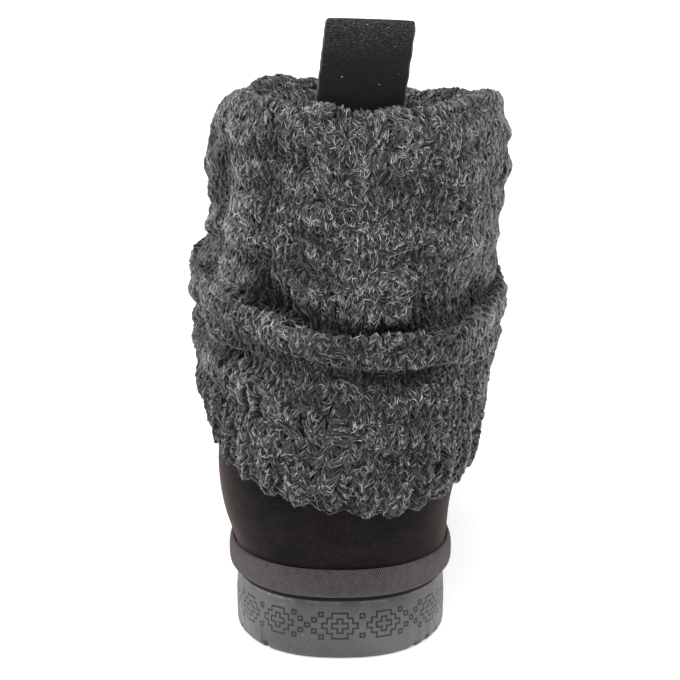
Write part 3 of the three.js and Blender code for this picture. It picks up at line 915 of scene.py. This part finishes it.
wool = Finish("marled_wool")
yarn_u, yarn_v, _ = wool.parts(wool.node("UVMap", {"uv_map": "Yarn"}))
# The tint attribute holds the marl's own shades together with painted light and shade: paler at the
# rim and on raised stitches, darker in the crease
tint = wool.node("Attribute", {"attribute_name": "tint"}, None, "Fac")
ply = ((yarn_u * 0.45 + yarn_v * 1.0) * 2 * np.pi).sine() * 0.5 + 0.5
yarn_sockets = {"X": yarn_u * 0.45, "Y": yarn_v * 13.0, "Z": tint * 40}
yarn_place = wool.node("CombineXYZ", None, yarn_sockets)
fibre = wool.noise(1.0, 3, yarn_place, 0.6)
streak = wool.noise(2600, 2, wool.place, 0.6)
light = (fibre.ease(0.46, 0.6) * 0.75 + ply * 0.1 + streak.ease(0.5, 0.75) * 0.15) * tint
wool.surface(
    Base_Color=wool.blend(light, shade(12, 10, 13), shade(111, 107, 111)),
    Roughness=0.95,
    Normal=wool.relief(fibre + ply * 0.6, 0.35),
    Specular_IOR_Level=0.15,
    Sheen_Weight=0.85,
    Sheen_Roughness=0.35,
    Sheen_Tint=shade(200, 196, 202),
)


def yarn_object(name, points, faces, tints_and_painted_light):
    """Yarn with its UV map, along and round it, and its tint, which carries painted light and shade.
    """
    made = mesh_object(name, points, faces, wool.material)
    count = len(tints_and_painted_light)
    along = np.linspace(0, leg_length, yarn_knots)[None] + rng.uniform(0, 90, (count, 1))
    k, s = np.meshgrid(np.arange(yarn_knots - 1), np.arange(yarn_sides), indexing="ij")
    corner_u = np.stack([along[:, k], along[:, k + 1], along[:, k + 1], along[:, k]], -1)
    corner_v = np.broadcast_to(np.stack([s, s, s + 1, s + 1], -1) / yarn_sides, corner_u.shape)
    side_uv = np.stack([corner_u, corner_v], -1).reshape(-1, 2)
    cap_u = np.concatenate([along[:, 0], along[:, -1]]).repeat(yarn_sides)
    cap_uv = np.stack([cap_u, np.tile(np.arange(yarn_sides) / yarn_sides, 2 * count)], -1)
    uv = made.data.uv_layers.new(name="Yarn")
    uv.data.foreach_set("uv", np.concatenate([side_uv, cap_uv]).ravel())
    layer = made.data.attributes.new("tint", "FLOAT", "POINT")
    layer.data.foreach_set("value", np.repeat(tints_and_painted_light, yarn_knots * yarn_sides))


all_columns, all_rows = np.meshgrid(np.arange(columns), np.arange(stitch_rows))
all_columns, all_rows = all_columns.ravel().astype(float), all_rows.ravel().astype(float)
lanes = all_columns % cable_columns
# A cable's first column is often purled, and the others seldom
purl_share = np.where(lanes < 1, 0.5, 0.07)
purled = (all_rows > rib_rows) & (rng.random(len(all_rows)) < purl_share)
lower_arc = purl_shape * [1, -0.55, 0.9] + [0, 0.95, 0]
cast_on_arc = purl_shape * [1.1, 0.5, 1] + [0, -0.35, 0]
yarn_taper = np.array([0.7, 1, 1, 0.7])
rim_key = 13
# The knit in four pieces, each with its first row and the row after its last
bands = [("knit_hem", 0, 20), ("knit_ankle", 20, 39), ("knit_shaft", 39, 58),
         ("knit_collar", 58, stitch_rows)]
legs = []
for name, first, after_last in bands:
    here = (all_rows >= first) & (all_rows < after_last)
    knit, purl = here & ~purled, here & purled
    cast_on = here & (all_rows == 0)
    sets = [(knit, leg_shape), (knit, leg_shape * [-1, 1, 1]),
            (purl, purl_shape), (purl, lower_arc), (cast_on, cast_on_arc)]
    found = [stitch_paths(all_columns[chosen], all_rows[chosen], shape) for chosen, shape in sets]
    paths, normals = (np.concatenate(each) for each in zip(*found))
    at_columns, at_rows = (np.concatenate([grid[chosen] for chosen, _ in sets])
                           for grid in (all_columns, all_rows))
    count = len(paths)
    radii = yarn_radius * rng.normal(1, 0.09, (count, 1)) * yarn_taper[None]
    points, faces = tubes(paths, normals, radii, yarn_sides)
    raised = relief(at_columns, at_rows + 0.5)
    folded = in_fold(at_columns, at_rows + 0.5)
    # Painted light: paler towards the rim, which faces the light from above, and more so the further
    # round to the front
    far = 1.7 - 0.7 * np.cos(at_columns / columns * 2 * np.pi)
    high = smooth(-7, 0, at_rows - row_near(rim_key, at_columns)) * far
    tints_and_painted_light = rng.normal(0.75, 0.22, count) * (1 + 0.34 * high)
    # Painted light and shade: raised stitches are lighter and sunk ones darker, and stitches in the
    # crease above the roll get painted shade
    tints_and_painted_light = np.clip(tints_and_painted_light * (1 + 0.4 * raised) * (1 - 0.7 * folded), 0.08, 1.7)
    yarn_object(name, points, faces, tints_and_painted_light)
    legs.append((paths, normals, radii, tints_and_painted_light))

hair = Finish("wool_fuzz")
# The tint attribute holds each fibre's own shade and the painted light and shade of its yarn
hair_tint_and_painted_light = hair.node("Attribute", {"attribute_name": "tint"}, None, "Fac")
hair.surface(
    Base_Color=hair.blend(hair_tint_and_painted_light, shade(10, 8, 11), shade(214, 210, 215)),
    Roughness=0.9,
    Specular_IOR_Level=0.3,
    Sheen_Weight=1.0,
    Sheen_Roughness=0.35,
)


# A few fibres stand off wildly, and about half of all are pale and the others dark
wild_share = 0.08
pale_share = 0.55


def fuzz(name, count, paths, normals, radii, tints_and_painted_light):
    """Loose fibres that run along the yarn and curl off it, as thin ribbons."""
    which = rng.integers(0, len(paths), count)
    place = rng.uniform(0.25, 2.6, count)
    k = place.astype(int)
    share = (place - k)[:, None]
    middle = paths[which, k] * (1 - share) + paths[which, k + 1] * share
    normal = normals[which, k]
    run = paths[which, k + 1] - paths[which, k]
    run -= normal * np.sum(run * normal, 1, keepdims=True)
    run /= np.linalg.norm(run, axis=1, keepdims=True) + 1e-9
    beside = np.cross(run, normal)
    aside = rng.uniform(-0.8, 0.8, count)
    thick = radii[which, 1]
    turn = rng.normal(0, 0.38, count)
    wild = rng.random(count) < wild_share
    turn = np.where(wild, rng.uniform(-1.5, 1.5, count), turn)
    bend = rng.normal(0, 0.9, count)
    length = rng.uniform(1.1, 2.8, count)
    lift = rng.exponential(0.16, count) + np.where(wild, 0.25, 0.0)
    # Each fibre lies close to the yarn at its root and stands off in its middle and at its tip
    points = []
    for at, lifted in ((0, 0.2), (0.5, 1), (1, 1)):
        angle = (turn + bend * (at - 0.5))[:, None]
        step = ((at - 0.5) * length)[:, None]
        out = (thick * np.sqrt(1 - 0.8 * aside ** 2) + 0.03 + lift * lifted)[:, None]
        points.append(middle + beside * (aside * thick)[:, None]
                      + (run * np.cos(angle) + beside * np.sin(angle)) * step + normal * out)
    points = np.stack(points, 1)
    facing = np.cross(np.gradient(points, axis=1), normal[:, None])
    facing /= np.linalg.norm(facing, axis=2, keepdims=True)
    width = rng.uniform(0.05, 0.1, (count, 1, 1)) * np.array([0.7, 1.0, 0.4])[None, :, None]
    fibre_corners = 6
    corners = np.stack([points - facing * width, points + facing * width], 2).reshape(-1, 3)
    base = np.arange(count)[:, None] * fibre_corners
    quads = np.concatenate([base + [[0, 1, 3, 2]], base + [[2, 3, 5, 4]]])
    made = mesh_object(name, corners, quads.tolist(), hair.material)
    layer = made.data.attributes.new("tint", "FLOAT", "POINT")
    is_pale = rng.random(count) < pale_share
    pale = rng.uniform(0.25, 1.0, count) ** 1.3
    shades = np.where(is_pale, pale, rng.uniform(0, 0.1, count))
    # Each fibre takes on the painted light and shade of its yarn
    shades = shades * np.clip(tints_and_painted_light[which] * 1.15, 0.15, 1.35)
    layer.data.foreach_set("value", np.repeat(shades, fibre_corners))


def joined(chosen):
    return [np.concatenate(each) for each in zip(*chosen)]


fuzz("fuzz_low", 43500, *joined(legs[:2]))
fuzz("fuzz_high", 41500, *joined(legs[2:]))

# The backing is a closed skin just under the yarn: wool coloured darker as painted shade of the
# knit's depths
backing_depth = 1.05
backing_wall = 0.8
core = Finish("wool_in_shadow")
core_strands = core.noise(900, 3, core.stretched(core.place, 1.0, 1.0, 0.4))
core.surface(
    Base_Color=core.blend(core_strands.ease(0.38, 0.6), shade(20, 18, 21), shade(88, 84, 88)),
    Roughness=1.0,
    Specular_IOR_Level=0.0,
    Normal=core.relief(core_strands, 0.6),
)
skin_rows, skin_columns = np.meshgrid(
    np.arange(stitch_rows + 1) * 1.0, np.arange(0, columns, 0.5), indexing="ij")
skin_normal = on_grid(fabric_normal, skin_columns, skin_rows)
skin_out = relief(skin_columns, skin_rows) - backing_depth
front_skin = on_grid(fabric, skin_columns, skin_rows) + skin_normal * skin_out[..., None]
back_skin = front_skin - skin_normal * backing_wall
skins = np.concatenate([front_skin, back_skin[::-1]]).reshape(-1, 3)
backing_faces = ring_faces(2 * len(skin_rows), 2 * columns, True)
backing = mesh_object("knit_backing", skins, backing_faces, core.material)
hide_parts("knit_sleeve")


# Pull loop
# A strap of black grained microfibre folded over and sewn inside the collar, its edges cut raw.

loop_width = 28
loop_thickness = 1.6
loop_rise = 25
loop_tuck = 22
loop_radius = 4.8
loop_sway = 3.2
loop_slant = 0.035
loop_corner_drop = 0.3
loop_rows = 97

strap = Finish("grained_strap")
strap_across, strap_along, _ = strap.parts(strap.node("UVMap", {"uv_map": "Strap"}))
strap_place = strap.stretched(strap.place, 1.0, 1.0, 2.2)
pebble = strap.node("TexVoronoi", {"feature": "SMOOTH_F1"}, {"Vector": strap_place, "Scale": 1400.0})
crinkle = strap.noise(1000, 4, strap_place, 0.65)
strap_cloud = strap.noise(90, 3)
bent = strap_along.ease(loop_tuck + 4, loop_tuck + loop_rise + 3)
dust = strap.noise(1000, 1).ease(0.78, 0.82)
fray = strap.noise(1700, 3)
raw_edge = (abs(strap_across) + fray * 0.7).ease(loop_width / 2 - 0.25, loop_width / 2 + 0.1)
# Painted light: the grain's pebbles are painted light and dark in place of their shading, and the
# strap's top, where it bends over towards the light above, is painted paler.
pale = strap.blend(pebble.ease(0.12, 0.5), shade(100, 92, 93), shade(25, 21, 22))
leather_with_painted_light = strap.blend(bent * bent * 0.85 + crinkle.ease(0.45, 0.7) * 0.12, shade(10, 8, 8), pale)
flecked = strap.blend(dust * 0.8, leather_with_painted_light, shade(205, 202, 200))
strap.surface(
    Base_Color=strap.blend(raw_edge * 0.6, flecked, shade(104, 96, 90)),
    Roughness=0.5 + 0.25 * strap_cloud,
    Specular_IOR_Level=0.22,
    Normal=strap.relief(pebble * (bent * 0.9 + 0.1) + crinkle * 0.5, 0.55),
)


def loop_line():
    """The strap's middle line from its outer end, up over the fold and down to its inner end."""
    leg = np.array([[0, -loop_tuck], [0, -loop_tuck / 2], [0, 2],
                    [-0.12 * loop_radius, 0.4 * loop_rise], [-0.2 * loop_radius, 0.72 * loop_rise]])
    bend = loop_rise * 0.28 - loop_thickness / 2
    angle = np.pi * np.arange(1, 6) / 6
    fold = leg[-1] + np.stack([loop_radius * (1 - np.cos(angle)), bend * np.sin(angle)], -1)
    opened = smooth(0, 0.72, leg[:, 1] / loop_rise)
    spread = (loop_thickness + clearance) + (2 * loop_radius - loop_thickness - clearance) * opened
    return np.concatenate([leg, fold, (leg + np.stack([spread, 0 * spread], -1))[::-1]])


loop_knots = loop_line()
knots_at = np.concatenate([[0], np.cumsum(np.linalg.norm(np.diff(loop_knots, axis=0), axis=1))])
strap_at = np.linspace(0, knots_at[-1], loop_rows)
middle = np.stack([through(knots_at, loop_knots[:, axis], strap_at) for axis in range(2)], -1)
strap_way = np.gradient(middle, axis=0)
strap_way /= np.linalg.norm(strap_way, axis=1, keepdims=True)
# The strap's section: across, as a share of its half width, and out, as one of its half thickness
left_edge = [(-1, 0.2), (-0.985, 0.8), (-0.95, 1)]
right_edge = [(0.95, 1), (0.985, 0.8), (1, 0.2)]
half_section = left_edge + [(a, 1) for a in np.linspace(-0.8, 0.8, 9)] + right_edge
section = np.array(half_section + [(-a, -b) for a, b in half_section])
free = np.clip(middle[:, 1] / loop_rise, 0, 1)[:, None]
narrowing = 1 - 0.07 * smooth(0.9, 1.0, free) ** 3
across = section[:, 0][None] * loop_width / 2 * narrowing
wobble = 0.12 * np.sin(strap_at[:, None] * 0.9) * np.sign(section[:, 0])[None]
proud = section[:, 1][None] * loop_thickness / 2
face_width = shaft_half_width - upper_wall - clearance - knit_wall
face_depth = shaft_half_depth - upper_wall - clearance - knit_wall
bow = face_depth * (1 - np.sqrt(1 - (across / face_width) ** 2)) * (1 - 0.85 * free)
leg_front = shaft_middle - face_depth + 2 * clearance + loop_thickness / 2
droop = loop_slant * across + loop_corner_drop * (across / (loop_width / 2)) ** 4
strap_points = np.stack([
    shaft_lean + across + wobble + loop_sway * free,
    leg_front + middle[:, :1] - strap_way[:, 1:] * proud + bow,
    collar_height + middle[:, 1:] + strap_way[:, :1] * proud - droop * free ** 2,
], -1)
strap_faces = ring_faces(loop_rows, len(section), False)
loop = mesh_object("pull_loop_strap", strap_points.reshape(-1, 3), strap_faces, strap.material)
strap_uv = loop.data.uv_layers.new(name="Strap")
for corner in loop.data.loops:
    row, place = divmod(corner.vertex_index, len(section))
    from_end = min(strap_at[row], strap_at[-1] - strap_at[row])
    strap_uv.data[corner.index].uv = (across[row, place], from_end)
bpy.ops.object.select_all(action="DESELECT")
loop.select_set(True)
bpy.context.view_layer.objects.active = loop
bpy.ops.object.mode_set(mode="EDIT")
bpy.ops.mesh.select_all(action="SELECT")
bpy.ops.mesh.fill_holes(sides=0)
bpy.ops.mesh.normals_make_consistent(inside=False)
bpy.ops.object.mode_set(mode="OBJECT")
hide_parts("pull_loop")
